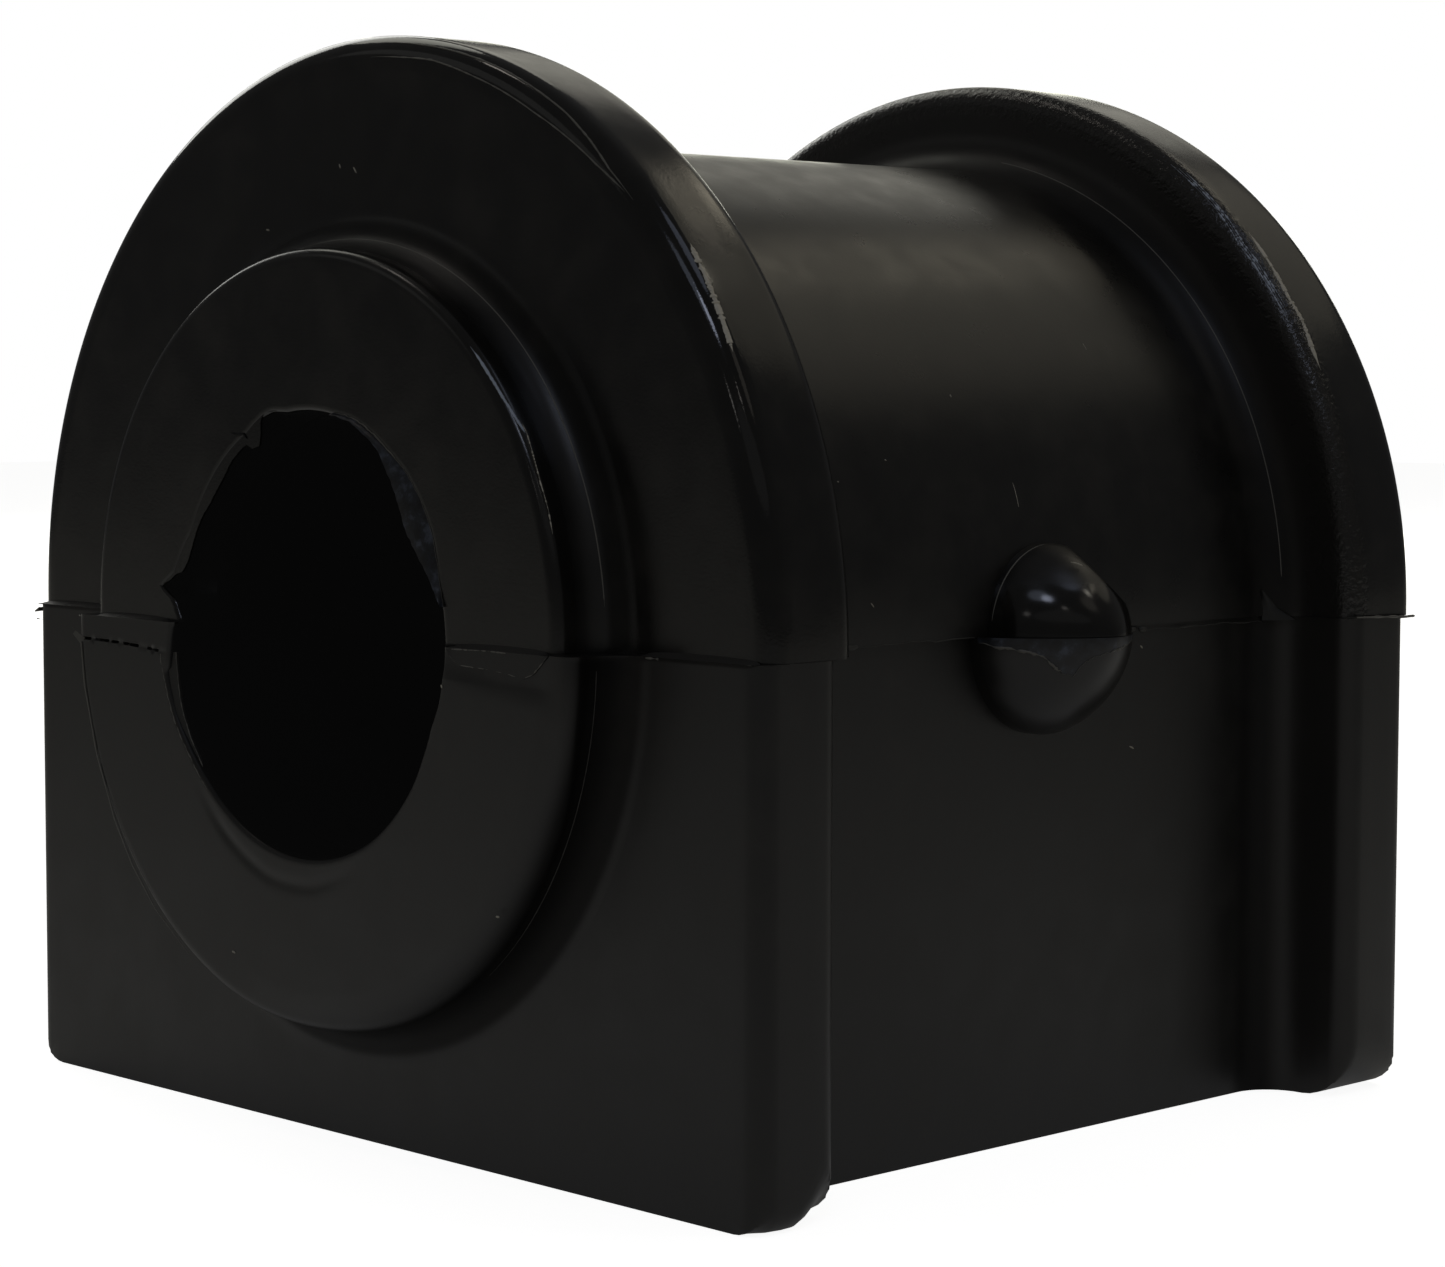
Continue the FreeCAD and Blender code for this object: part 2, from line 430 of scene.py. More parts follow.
# Worn outline of the front mouth as (degrees, extra radius), and the dent's (degrees, radius)
UPPER_MOUTH = [(0, -0.8), (10, -0.85), (17, -0.84), (24, -0.51), (29, -0.31), (36, -0.19), (47, -0.06),
               (56, -0.12), (63, 0.0), (72, 0.05), (80, -0.1), (100, 0.0), (106, 0.35), (110, 0.35),
               (118, 0.0), (155, 0.0), (168, 1.0), (172.2, 2.3), (174.8, 0.8), (180, 0.0)]
LOWER_MOUTH = [(-180, 0.0), (-174, 1.1), (-158, 1.1), (-148, 0.8), (-136, 0.5), (-124, 0.4), (-108, 0.35),
               (-94, 0.3), (-75, 0.22), (-62, 0.2), (-50, 0.05), (-39, -0.08), (-30, -0.27), (-18, -0.38),
               (-8, -0.15), (0, -0.1)]
DENT = [(-150, 14.9), (-136, 14.9), (-124, 15.4), (-114, 15.7), (-103, 16.0), (-88, 15.8), (-75, 15.2),
        (-62, 14.7)]


def rounded_line(corners):
    """Points (w, y) along an open line through (w, y, radius) corners. Each straight run between two
    tangent points is cut into even parts, and each corner is an arc cut into even angles."""
    spots = np.array([c[:2] for c in corners], float)
    rows = []
    start = spots[0]
    for i in range(1, len(spots) - 1):
        back = unit(spots[i - 1] - spots[i])
        ahead = unit(spots[i + 1] - spots[i])
        radius = corners[i][2]
        half = math.acos(float(back @ ahead)) / 2.0
        stop = spots[i] + back * radius / math.tan(half)
        leave = spots[i] + ahead * radius / math.tan(half)
        rows.append(start + (stop - start) * np.linspace(0.0, 1.0, RUNS[i - 1] + 1)[:-1, None])
        centre = spots[i] + unit(back + ahead) * radius / math.sin(half)
        sweep = math.pi - 2.0 * half
        s = np.linspace(0.0, 1.0, ARCS[i - 1] + 1)[:-1, None]
        arc = np.sin((1.0 - s) * sweep) * (stop - centre) + np.sin(s * sweep) * (leave - centre)
        rows.append(centre + arc / math.sin(sweep))
        start = leave
    rows.append(start + (spots[-1] - start) * np.linspace(0.0, 1.0, RUNS[-1] + 1)[:, None])
    return np.concatenate(rows)


def meridian(body, flange, inner, collar):
    """Closed outline of one mould half as (distance from the bore axis, y): from the middle of the
    body out over the flange, collar and end face and back down the bore, then its mirror image."""
    half = rounded_line([
        (body, 0.0),
        (body, inner, ROOT_R),
        (flange, inner, RIM_R),
        (flange, FACE_Y, RIM_R),
        (collar, FACE_Y, COLLAR_ROOT_R),
        (collar, END_Y, COLLAR_EDGE_R),
        (BORE_R, END_Y, MOUTH_EDGE_R),
        (BORE_R, 0.0),
    ])
    return np.concatenate([half, half[-2:0:-1] * np.array([1.0, -1.0])])


def face_share(w, y):
    """How far each row has gone from the flange's D outline (0) to the round collar (1), and the
    radius where the face ends at the collar's root."""
    outer = w.max() - RIM_R
    on_face = (np.abs(np.abs(y) - FACE_Y) < 1e-6) & (w < outer)
    inner = w[on_face].min()
    share = np.where(on_face, (outer - w) / (outer - inner), 0.0)
    beyond = (np.abs(y) > FACE_Y + 1e-6) | (w < inner - 1e-6)
    return np.where(beyond, 1.0, share), inner


def slip_share(w):
    """1 on the outside, where the halves are out of line, down to a trace in the straight bore."""
    return 0.1 + 0.9 * smooth(w, BORE_R + 0.2, BORE_R + 6.0)


def mouth_wear(w, y, angle, mouth):
    """Extra radius of the front mouth at each angle in degrees: full at the mouth's edge, fading
    outwards on the end face and inwards down the bore."""
    on_end = np.abs(y) > END_Y - MOUTH_EDGE_R
    out = 1 - smooth(w, BORE_R + 0.4, BORE_R + 4.5)
    down = 1 - smooth(END_Y - np.abs(y), 0.2, 1.6)
    reach = np.where(on_end, out, np.where(w < BORE_R + 0.5, down, 0.0))
    turn, grow = np.array(mouth).T
    return np.interp(angle, turn, grow) * reach * (y < 0)


def upper_shell(rows):
    """Upper half: each row is turned half round the bore axis, and a straight band under the arch
    ends on the parting plane."""
    w, y = rows[:, :1], rows[:, 1:]
    angle = np.linspace(0.0, math.pi, ARCH_COLUMNS)
    slip = slip_share(w)
    w = w + mouth_wear(w, y, np.degrees(angle), UPPER_MOUTH)
    arch = np.stack([w * np.cos(angle) + SLIP_X * slip, y + SLIP_Y + 0 * w,
                     w * np.sin(angle) + ARCH_RISE * slip], -1)
    ends = arch[:, [0, -1]] * np.array([1.0, 1.0, 0.0])
    return np.concatenate([ends[:, :1], arch, ends[:, 1:]], 1)


def corner_radii(y):
    """Radii of the flange's bottom corners at each row, on the slit's side and on the nub's. The
    front corner below the nub is fullest at mid thickness and rounder at the face and inner rim."""
    reach = np.abs(y)
    front = 1.3 + 0.9 * smooth(reach, 29.2, 31.0) + 2.9 * (1 - smooth(reach, 24.8, 28.2))
    return np.full_like(y, SLIT_CORNER_R), np.where(y < 0, front, REAR_CORNER_R)


def side_columns(radius):
    """Distance out and depth of the flange outline's side and bottom corner, one row for each
    radius: fixed depths, then even steps to the corner, then the corner's arc."""
    foot = AXIS_HEIGHT - radius
    side = np.concatenate([NEAR_Z + 0 * radius, NEAR_Z[-1] + (foot - NEAR_Z[-1]) * DOWN], 1)
    x = np.concatenate([LOWER_FLANGE_HALF + 0 * side, LOWER_FLANGE_HALF - radius + radius * np.cos(BEND)], 1)
    return x, np.concatenate([side, foot + radius * np.sin(BEND)], 1)


def dee_columns(left_r, right_r, width):
    """The flange's flat-sided outline as x and z, one row for each pair of corner radii: down the
    slit's side, over the base and up the nub's side, cut off at each row's width."""
    left_x, left_z = side_columns(left_r)
    right_x, right_z = side_columns(right_r)
    left_end = -np.minimum(width, LOWER_FLANGE_HALF - left_r)
    right_end = np.minimum(width, LOWER_FLANGE_HALF - right_r)
    base_x = left_end + (right_end - left_end) * (ACROSS + 1) / 2
    x = np.concatenate([-np.minimum(left_x, width), base_x, np.minimum(right_x, width)[:, ::-1]], 1)
    return x, np.concatenate([-left_z, 0 * base_x - AXIS_HEIGHT, -right_z[:, ::-1]], 1)


def slit_depth(rows):
    """Depth of the slit's groove on the collar at each row: it opens and closes along the outline."""
    run = np.cumsum(np.r_[0.0, np.linalg.norm(np.diff(rows, axis=0), axis=1)])
    open_share = 0.05 + 0.95 * smooth(noise_line(run * 2.3, 5), -0.25, 0.45)
    reach = rows[:, 0]
    fade = smooth(reach, 14.2, 14.6) * (1 - smooth(reach, 24.5, 26.0))
    return (GROOVE_DEPTH * open_share * fade)[:, None]


def front_relief(w, y, radius, turned):
    """How far the lower front end face lies in: all of it by the set-back, a shallow dent round the
    foot of the mouth, a step under the flash on the right, and a collar edge that rolls away."""
    depth = np.abs(y)
    dent_turn, dent_radius = np.array(DENT).T
    dent_at = np.interp(turned, dent_turn, dent_radius)
    dent = DENT_DEPTH * smooth(turned, -140, -120) * (1 - smooth(turned, -85, -66))
    dent = dent * np.exp(-((radius - dent_at) / 0.45) ** 2)
    step = STEP_DEPTH * smooth(turned, -8.0, -4.5) * (turned < 1.0) * (1 - smooth(radius, 22.4, 24.6))
    roll = 0.13 * np.clip(radius - 22.7, 0.0, 2.6) ** 2
    roll = roll * smooth(turned, -112, -80) * (1 - 0.7 * smooth(turned, -25, -6))
    inward = (dent + step) * (depth > END_Y - 0.31) + SET_BACK * smooth(depth, 34.0, 35.3)
    return (y < 0) * (inward + roll * smooth(depth, 33.4, 34.9) * (w < COLLAR_LOW_R + 0.01))


def lower_shell(rows):
    """Lower half: the body and the flange follow the flat-sided outline down to the base, the collar
    and the bore are round, and the flange's face blends one into the other. Each column keeps its
    depth on the outline's side and its direction over the base."""
    w, y = rows[:, :1], rows[:, 1:]
    share, inner = face_share(w, y)
    radius = np.where((share > 0) & (share < 1), inner, w)
    corner = np.array([[CORNER_R]])
    ref_x, ref_z = dee_columns(corner, corner, np.array([[LOWER_FLANGE_HALF]]))
    # The slit's plane rises a little towards the outside
    foot = AXIS_HEIGHT - CORNER_R
    near_slit = (ref_x < 0) & (ref_z > -foot)
    drift = 0.4 - 0.0042 * np.clip(24.6 - radius, 0, 11) ** 2
    drift = drift * (near_slit * (1 - smooth(np.abs(ref_z + SLIT_DROP), 0.3, 1.0)))
    # Round outline: level columns down to the near depth, then even turns to the corner's direction
    ring = radius + mouth_wear(w, y, -np.degrees(np.arctan2(-ref_z, ref_x)), LOWER_MOUTH)
    depth = -ref_z - drift
    level = NEAR_Z[-1]
    near = np.arcsin(np.clip(np.minimum(depth, level) / ring, -1, 1))
    rest = np.arctan2(foot, LOWER_FLANGE_HALF) - np.arcsin(level / ring)
    turn = np.where(-ref_z <= foot + 1e-9, near + rest * np.clip((depth - level) / (foot - level), 0, 1),
                    np.arctan2(-ref_z, np.abs(ref_x)))
    ring_x = np.sign(ref_x + 1e-9) * ring * np.cos(turn)
    ring_z = -ring * np.sin(turn)
    dee_x, dee_z = dee_columns(*corner_radii(y), np.where(share > 0, LOWER_FLANGE_HALF - RIM_R, w))
    x = dee_x * (1 - share) + ring_x * share
    z = (dee_z + drift) * (1 - share) + ring_z * share
    # The slit's groove goes in against the outline's outward direction
    ahead = unit(np.roll(rows, -1, axis=0) - np.roll(rows, 1, axis=0))
    sink = ((ref_x < 0) & (np.abs(ref_z + SLIT_DROP) < 0.01)) * slit_depth(rows)
    inward = front_relief(w, y, radius, np.degrees(np.arctan2(ring_z, ring_x)))
    return np.stack([x + sink * ahead[:, 1:] - SLIP_X * slip_share(w),
                     y - SLIP_Y + inward + sink * ahead[:, :1], z], -1)


def shell():
    """The outer form as one closed grid. The halves meet in a ledge, because they closed out of
    line."""
    points = np.concatenate([upper_shell(meridian(*UPPER)), lower_shell(meridian(*LOWER))], 1)
    faces = grid_faces(points.shape[0], points.shape[1], True)
    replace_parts(piece("bushing_shell", points, faces, RUBBER), "bushing")


def nub_half(name, upper):
    """Half of the domed nub. Its outline is a superellipse turned half round the X axis, closed by
    a flat on the parting plane and by a seat inside the body."""
    t = np.linspace(0.0, math.pi / 2, 40)
    power = 2.0 / NUB_POWER[upper]
    radius = NUB_RADIUS[upper]
    rho = np.r_[radius, radius * np.abs(np.cos(t[:-1])) ** power, 0.02][:, None]
    out = np.r_[-NUB_SEAT, NUB_HEIGHT * np.abs(np.sin(t)) ** power][:, None]
    turn = np.linspace(0.0, math.pi, 61)
    side = 1.0 if upper else -1.0
    points = np.stack([BODY_R + out + side * SLIP_X + 0 * turn, rho * np.cos(turn) + side * SLIP_Y / 2,
                       side * rho * np.sin(turn)], -1)
    if upper:
        flat = unit(np.array(NUB_FLAT))
        over = np.clip(points @ flat - NUB_FLAT_AT, 0.0, None)[..., None]
        points = points - NUB_FLAT_SHARE * over * flat
    tube(name, points, NUB_SKIN, 38.0)


shell()
nub_half("nub_upper", True)
nub_half("nub_lower", False)

# Lines round the front mouth as (degrees, radius) places
TORN_EDGE = [(101.0, 14.95), (103.8, 14.41), (108.8, 14.63), (111.0, 14.36), (112.4, 13.5), (114.3, 12.85),
             (117.6, 13.02), (119.5, 13.54), (122.6, 13.59), (127.3, 13.55), (134.5, 13.29), (143.3, 13.30),
             (150.0, 13.61), (158.0, 13.71), (162.6, 13.81), (166.6, 14.26), (167.8, 14.89), (169.9, 15.49),
             (171.5, 16.3), (173.0, 17.0)]
CURL_OUTER = [(80, 14.15), (71.6, 14.3), (63.4, 14.22), (56.5, 14.1), (47.5, 14.16), (41.5, 14.1),
              (35.8, 14.02), (29.3, 13.85), (24.5, 13.65), (17.3, 13.4), (10, 13.35)]
CURL_INNER = [(80, 14.0), (71.6, 14.1), (62.6, 13.85), (57.8, 13.7), (52.6, 13.2), (47.9, 12.9), (41, 12.4),
              (34.6, 12.05), (29.4, 12.12), (24.5, 12.35), (16.7, 12.9), (10, 13.33)]
SUNK_OUTER = [(-172, 15.5), (-171, 15.55), (-165, 15.43), (-155, 15.3), (-145, 14.97), (-136, 14.87),
              (-126, 14.75)]
SUNK_INNER = [(-172, 14.2), (-170, 14.25), (-157, 14.6), (-143, 14.55), (-131, 14.6), (-126, 14.62)]


def torn_film():
    """Torn edge of the mouth, upper left: a film that cuts straight across the bore's outline, with
    a crack in it."""
    film("mouth_film_upper_left", polar([(101, 17.6), (173, 17.6)], 150, FRONT_UP + 0.03),
         polar(TORN_EDGE, 150, FRONT_UP + 0.03, 0.03, 11), TOWARDS, 0.45, RUBBER)
    crack = along([(-8.35, 12.55), (-7.6, 12.42), (-6.95, 12.5), (-6.6, 12.2)], 14)
    bead("tear_upper_left", at_y(crack, FRONT_UP - 0.01), 0.03 + 0.08 * swell(14), SHADE)


def curled_film():
    """Curled film on the upper right of the mouth, with a painted bluish sheen and a painted highlight
    along its outer edge."""
    count = 110
    film("mouth_film_upper_right", polar(CURL_OUTER, count, FRONT_UP + 0.12, 0.03, 12),
         polar(CURL_INNER, count, FRONT_UP - 0.3, 0.06, 13), TOWARDS, 0.25, FILM_SHEEN, 0.1)
    share = np.linspace(0.0, 1.0, count)
    bright = np.sin(math.pi * np.clip(share * 2.2, 0, 1)) * (0.6 + 0.5 * noise_line(share * 40, 3))
    bead("mouth_edge_upper_right", polar(CURL_OUTER, count, FRONT_UP, 0.05, 12), 0.012 + 0.07 * bright, EDGE_HIGHLIGHT)


def sunken_film():
    """Film round the lower left of the mouth, set back from the face, painted lighter than the skin,
    with painted highlights along its edges.
    """
    count = 120
    share = np.linspace(0.0, 1.0, count)
    outer = polar(SUNK_OUTER, count, FRONT_LOW + 0.12, 0.04, 14)
    inner = polar(SUNK_INNER, count, FRONT_LOW + 0.4, 0.04, 15)
    film("mouth_film_lower_left", outer + (outer - inner) * 0.25, inner, TOWARDS, 0.4, LIGHTENED_FLASH)
    bead("mouth_edge_lower_inner", inner + np.array([0.0, -0.05, 0.0]),
         0.015 + 0.035 * uneven(count, 30, 16, 0.4) * (1 - smooth(share, 0.85, 1.0)), EDGE_HIGHLIGHT)
    bead("mouth_edge_lower_outer", outer + np.array([0.0, -0.1, 0.0]),
         0.012 + 0.045 * uneven(count, 45, 4, 0.5) * (1 - smooth(share, 0.6, 0.95)), EDGE_HIGHLIGHT)


def collar_line():
    """Thin line of painted highlight where the lower collar's edge turns away on the left."""
    spots = along([(-24.72, -1.9), (-24.35, -4.81), (-22.95, -9.49), (-20.9, -13.74), (-18.9, -16.60),
                   (-16.3, -19.28), (-12.5, -21.9)], 160)
    share = np.linspace(0.0, 1.0, 160)
    thick = 0.05 * (1 - smooth(share, 0.6, 1.0)) * (1 + 0.3 * noise_line(share * 50, 6))
    bead("collar_edge_line", at_y(spots, FRONT_LOW + 0.02), 0.02 + thick, EDGE_HIGHLIGHT)


torn_film()
curled_film()
sunken_film()
collar_line()


def hanging_flash():
    """Ragged film of flash that hangs from the parting plane over the lower collar on the right."""
    count = 90
    top = along([(14.3, 0.0), (23.6, 0.0)], count)
    bottom = along([(14.35, -0.2), (15.28, -1.02), (16.68, -1.08), (18.29, -1.13), (20.11, -1.31),
                    (21.3, -1.5), (22.2, -1.2), (23.5, -0.1)], count)
    bottom[:, 1] += 0.07 * noise_line(np.linspace(0, count / 4, count), 21)
    film("flash_collar_right", at_y(top, FRONT_LOW + 0.03), at_y(bottom, FRONT_LOW + 0.01), TOWARDS, 0.12,
         RUBBER)


# Lines of flash on the front, pale beads of painted highlight: y, samples, thin and thick, (waves,
# seed, lift) of their unevenness and (x, z) places, and the places of the duller flash where the slit
# crosses the flange
FLASH_LINES = {
    "flash_line_collar_upper": (
        FRONT_LOW + 0.04, 90, 0.01, 0.05, (30, 22, 0.5),
        [(14.35, -0.1), (15.99, -0.06), (18.30, -0.02), (19.8, -0.05)]),
    "flash_line_collar_lower": (
        FRONT_LOW + 0.04, 90, 0.01, 0.035, (30, 22, 0.5),
        [(14.6, -0.5), (15.28, -1.0), (16.68, -1.06), (18.29, -1.11), (20.11, -1.29), (21.3, -1.48),
         (22.2, -1.18), (22.9, -0.6), (23.4, -0.15)]),
    "flash_line_collar_left": (
        FRONT_LOW + 0.05, 90, 0.015, 0.045, (30, 23, 0.2),
        [(-25.0, -0.1), (-22.46, -0.16), (-19.64, -0.05), (-16.15, -0.1)]),
    "flash_line_flange_right": (
        FACE_LOW, 60, 0.02, 0.06, (14, 24, 0.6),
        [(23.6, -0.13), (24.68, -0.06), (26.85, -0.08), (28.6, -0.1)]),
}
SLIT_FLASH = [(-36.6, -1.10), (-35.9, -1.14), (-34.88, -1.19), (-33.6, -1.26), (-32.47, -1.41),
              (-31.72, -1.57), (-31.09, -1.74)]
# Thin flash, painted lighter than the skin, that softens the corner of the ledge between the halves: ends
# along x, face, lip
LEDGES = {
    "flash_ledge_flange_right": (26.8, 36.2, -FACE_Y, 0.02),
    "flash_ledge_flange_left": (-36.4, -25.8, -FACE_Y, 0.02),
    "flash_ledge_collar_right": (14.4, 22.8, -END_Y, 0.17),
    "flash_ledge_collar_left": (-23.1, -15.4, -END_Y, 0.08),
}


def front_flash():
    """Uneven lines at the front of the parting plane, pale beads of painted highlight, a dull line of
    flash along the slit, the soft ledge between the halves painted lighter than the skin, and a small
    tab with a painted highlight beside the slit's outer end."""
    for name, (y, count, thin, thick, unevenness, places) in FLASH_LINES.items():
        bead(name, at_y(along(places, count), y), thin + thick * uneven(count, *unevenness), EDGE_HIGHLIGHT)
    for name, (start, stop, face, lip) in LEDGES.items():
        reach = np.linspace(start, stop, 40)
        top = np.stack([reach, np.full(40, face + SLIP_Y + 0.01), 0.3 * swell(40) ** 0.3], -1)
        edge = np.stack([reach, np.full(40, face - SLIP_Y + lip), np.zeros(40)], -1)
        film(name, top, edge, (0.0, -0.4, 0.9), 0.15, LIGHTENED_FLASH)
    film("flash_tab_left", along([(-24.9, FRONT_LOW + 0.05, -2.0), (-24.3, FRONT_LOW + 0.05, -1.6)], 12),
         along([(-25.7, FRONT_LOW, -1.4), (-25.4, FRONT_LOW, -1.15)], 12), TOWARDS, 0.1, TAB)
    bead("slit_flash_flange", at_y(along(SLIT_FLASH, 90), FACE_LOW + 0.03),
         0.008 + 0.05 * uneven(90, 34, 28, 0.0), TORN)


def flange_flash():
    """Points of flash that stand out from the flanges at the parting plane, the rear one with a painted
    highlight along it, and the web of flash in the corner between the body and the rear flange."""
    film("flash_tip_left", along([(-36.6, -31.4, -0.3), (-36.6, -28.8, -0.3)], 24),
         along([(-37.75, -31.0, -0.62), (-37.35, -29.9, -0.5), (-37.3, -28.8, -0.4)], 24), (0.0, 0.0, 1.0),
         0.25, TORN)
    spots = along([(37.3, 24.5, 0.14), (37.45, 27.5, 0.05), (37.75, 29.6, 0.0), (37.4, 31.0, -0.05)], 70)
    bead("flash_line_rear_flange", spots, 0.04 + 0.06 * uneven(70, 18, 25, 0.6), EDGE_HIGHLIGHT)
    film("flash_lip_rear_flange", spots - np.array([0.8, 0.0, 0.0]), spots, (0.0, 0.0, 1.0), 0.2, TORN)
    root = along([(30.95, 22.2, 1.75), (31.0, 22.35, 0.8), (31.0, 22.4, -0.3)], 24)
    edge = along([(31.05, 22.4, 1.75), (31.6, 23.2, 0.55), (32.5, 24.1, -0.25)], 24)
    film("flash_web", root + np.array([-0.06, 0.06, 0.0]), edge + np.array([0.12, -0.1, 0.0]),
         (0.72, -0.69, 0.0), 0.3, WEB, 0.12)


# Lumps in the body's flash: y, z, half length and thickness
LUMPS = [(-18.9, -0.3, 0.55, 0.22), (-17.8, -0.05, 0.6, 0.15), (8.6, -0.25, 0.5, 0.16),
         (9.8, -0.3, 0.35, 0.2)]


def body_flash():
    """Uneven flash along the body's parting line, with a gap at the nub, and a few lumps in it."""
    count = 220
    y = np.linspace(-24.0, 23.0, count)
    fade = 0.25 + 0.75 * np.clip(noise_line(y * 0.55, 31) + 0.15, 0, 1)
    drop = np.where(y > 0, -0.35, 0.0) + 0.12 * noise_line(y * 0.7, 32)
    path = np.stack([np.full(count, BODY_R - 0.13), y, drop], -1)
    bead("flash_line_body", path, 0.01 + 0.04 * fade * smooth(np.abs(y), 5.8, 6.6), TORN)
    run = np.linspace(-1.0, 1.0, 15)
    for i, (at, z, length, thick) in enumerate(LUMPS):
        path = np.stack([np.full(15, BODY_R - 0.16), at + length * run, z + 0.1 * run ** 2], -1)
        bead("flash_lump_body_" + str(i), path, 0.02 + thick * np.sqrt(np.clip(1 - run ** 2, 0, 1)), TORN)


def nub_flash():
    """Film of flash with a painted bluish sheen that hangs from the nub's upper half over the dome of its
    lower half, with a painted highlight along its broken edge, and the thin line that the mould's
    insert left on the upper half, painted pale as a highlight."""
    count = 160
    share = np.linspace(0.0, 1.0, count)
    ragged = along([(-6.7, -0.35), (-6.21, -0.58), (-5.47, -0.71), (-4.51, -1.08), (-4.05, -1.56),
                    (-3.66, -1.98), (-3.17, -2.21), (-2.65, -2.35), (-2.41, -1.64), (-1.94, -1.27),
                    (-1.31, -1.01), (0.32, -0.65), (2.5, -0.25)], count)
    ragged[:, 1] += 0.09 * noise_line(share * 45, 41)
    y = ragged[:, :1]
    z = 0.03 + (ragged[:, 1:] - 0.03) * np.linspace(0.0, 1.0, 7)
    rho = np.clip(np.hypot(y + SLIP_Y / 2, z) / NUB_RADIUS[0], 0.0, 1.0)
    dome = BODY_R - SLIP_X + NUB_HEIGHT * (1 - rho ** NUB_POWER[0]) ** (1 / NUB_POWER[0])
    sheet = np.stack([dome + 0.09, y + 0 * dome, z], -1)
    under = sheet - np.array([0.16, 0.0, 0.0])
    tube("flash_film_nub", np.concatenate([sheet, under[:, ::-1]], 1), FILM_SHEEN)
    left = smooth(share, 0.0, 0.03) * (1 - smooth(share, 0.33, 0.4))
    right = smooth(share, 0.62, 0.68) * (1 - smooth(share, 0.8, 0.97))
    bead("flash_edge_nub", sheet[:, -1] + np.array([0.02, -0.03, 0.0]),
         0.012 + 0.11 * (left + 0.7 * right) * uneven(count, 40, 42, 0.4), EDGE_HIGHLIGHT)
    turn = np.radians(np.linspace(170.0, 96.0, 60))
    rim = NUB_RADIUS[1] - 0.02
    ring = np.stack([np.full(60, BODY_R + 0.12), rim * np.cos(turn) + SLIP_Y / 2, rim * np.sin(turn)], -1)
    bead("nub_rim_line", ring, 0.01 + 0.045 * swell(60) ** 0.7, EDGE_HIGHLIGHT)


hanging_flash()
front_flash()
flange_flash()
body_flash()
nub_flash()

# Section of a raised line: places across it, their rise, and which of them are its sunken foot
RIDGE_ACROSS = np.array([-1.0, -1.0, -0.55, 0.0, 0.55, 1.0, 1.0])[:, None]
RIDGE_RISE = np.array([0.0, 0.25, 0.8, 1.0, 0.8, 0.25, 0.0])[:, None]
RIDGE_FOOT = np.array([1.0, 0.0, 0.0, 0.0, 0.0, 0.0, 1.0])[:, None]


def witness_line(name, w, y, tilt, last, end, half_width, seed):
    """A thin raised line where parts of the mould met, painted pale as a highlight, turned round the
    upper half at one spot of its outline. Tilt is the angle of the surface's normal from straight out
    towards the end."""
    count = 320
    turn = np.radians(np.linspace(3.0, last, count))
    tilt = math.radians(tilt)
    out = np.stack([np.cos(turn), 0 * turn, np.sin(turn)], -1)
    ahead = np.array([0.0, end, 0.0])
    normal = math.cos(tilt) * out + math.sin(tilt) * ahead
    side = math.sin(tilt) * out - math.cos(tilt) * ahead
    path = np.array([SLIP_X, end * y + SLIP_Y, ARCH_RISE]) + w * out
    share = np.linspace(0.0, 1.0, count)
    height = 0.03 * np.clip(0.75 + 0.5 * noise_line(share * 90, seed), 0.1, 1.3)
    height = height * smooth(share, 0.0, 0.04) * (1 - smooth(share, 0.96, 1.0)) + 0.004
    lift = RIDGE_RISE * height[:, None, None] - RIDGE_FOOT * 0.15
    tube(name, path[:, None] + normal[:, None] * lift + side[:, None] * RIDGE_ACROSS * half_width, EDGE_HIGHLIGHT)


def foot_line():
    """The thin line that the mould left along the foot of the lower front collar."""
    count = 160
    reach, y = COLLAR_LOW_R + 0.1, -33.68
    degrees = np.linspace(-2.0, -52.0, count)
    turn = np.radians(degrees)
    broken = np.clip(0.8 + 0.4 * noise_line(np.linspace(0, 60, count), 90), 0, 1.2)
    path = np.stack([reach * np.cos(turn) - SLIP_X, np.full(count, y), reach * np.sin(turn)], -1)
    bead("foot_line_collar", path, 0.01 + 0.03 * (1 - smooth(-degrees, 36.0, 52.0)) * broken, TORN)


witness_line("witness_collar_front", 24.35, 32.14, 39.7, 150, -1, 0.045, 51)
witness_line("witness_root_rear", 31.9, 23.19, -47.0, 80, 1, 0.04, 52)
foot_line()

# Rounded edges of the upper half: the arc's centre as distance from the axis and y, and its radius
FRONT_RIM = (FLANGE_R - RIM_R, FACE_UP + RIM_R, RIM_R)
REAR_RIM = (FLANGE_R - RIM_R, INNER_Y + SLIP_Y + RIM_R, RIM_R)
COLLAR_EDGE = (COLLAR_UP_R - COLLAR_EDGE_R, FRONT_UP + COLLAR_EDGE_R, COLLAR_EDGE_R)
# Places of the painted bluish speckle of glints on the rear rim
SPECKLE = [(56, 62), (48.4, 59), (45.8, 55), (42.5, 46), (40, 48.5), (37.2, 49), (32, 52)]


def rim_line(name, rim, places, thick, seed, material, sunk=0.0, broken=0.0):
    """A thin line on a rounded edge of the upper half through (degrees round the bore, degrees from
    the side that faces front towards the outside) places. Sunk is the share of the thickness that
    lies below the surface, and a broken line has gaps."""
    count = 240
    turn, tilt = np.radians(along(places, count)).T
    share = np.linspace(0.0, 1.0, count)
    fade = smooth(share, 0.0, 0.1) * (1 - smooth(share, 0.9, 1.0))
    strength = 0.7 - broken + (0.4 + 1.2 * broken) * noise_line(share * 60, seed)
    width = 0.008 + thick * fade * np.clip(strength, 0.0, 1.2)
    centre, y, radius = rim
    arc = radius + 0.01 - sunk * width
    reach = centre + arc * np.sin(tilt)
    path = np.stack([reach * np.cos(turn) + SLIP_X, y - arc * np.cos(tilt),
                     reach * np.sin(turn) + ARCH_RISE], -1)
    bead(name, path, width, material)
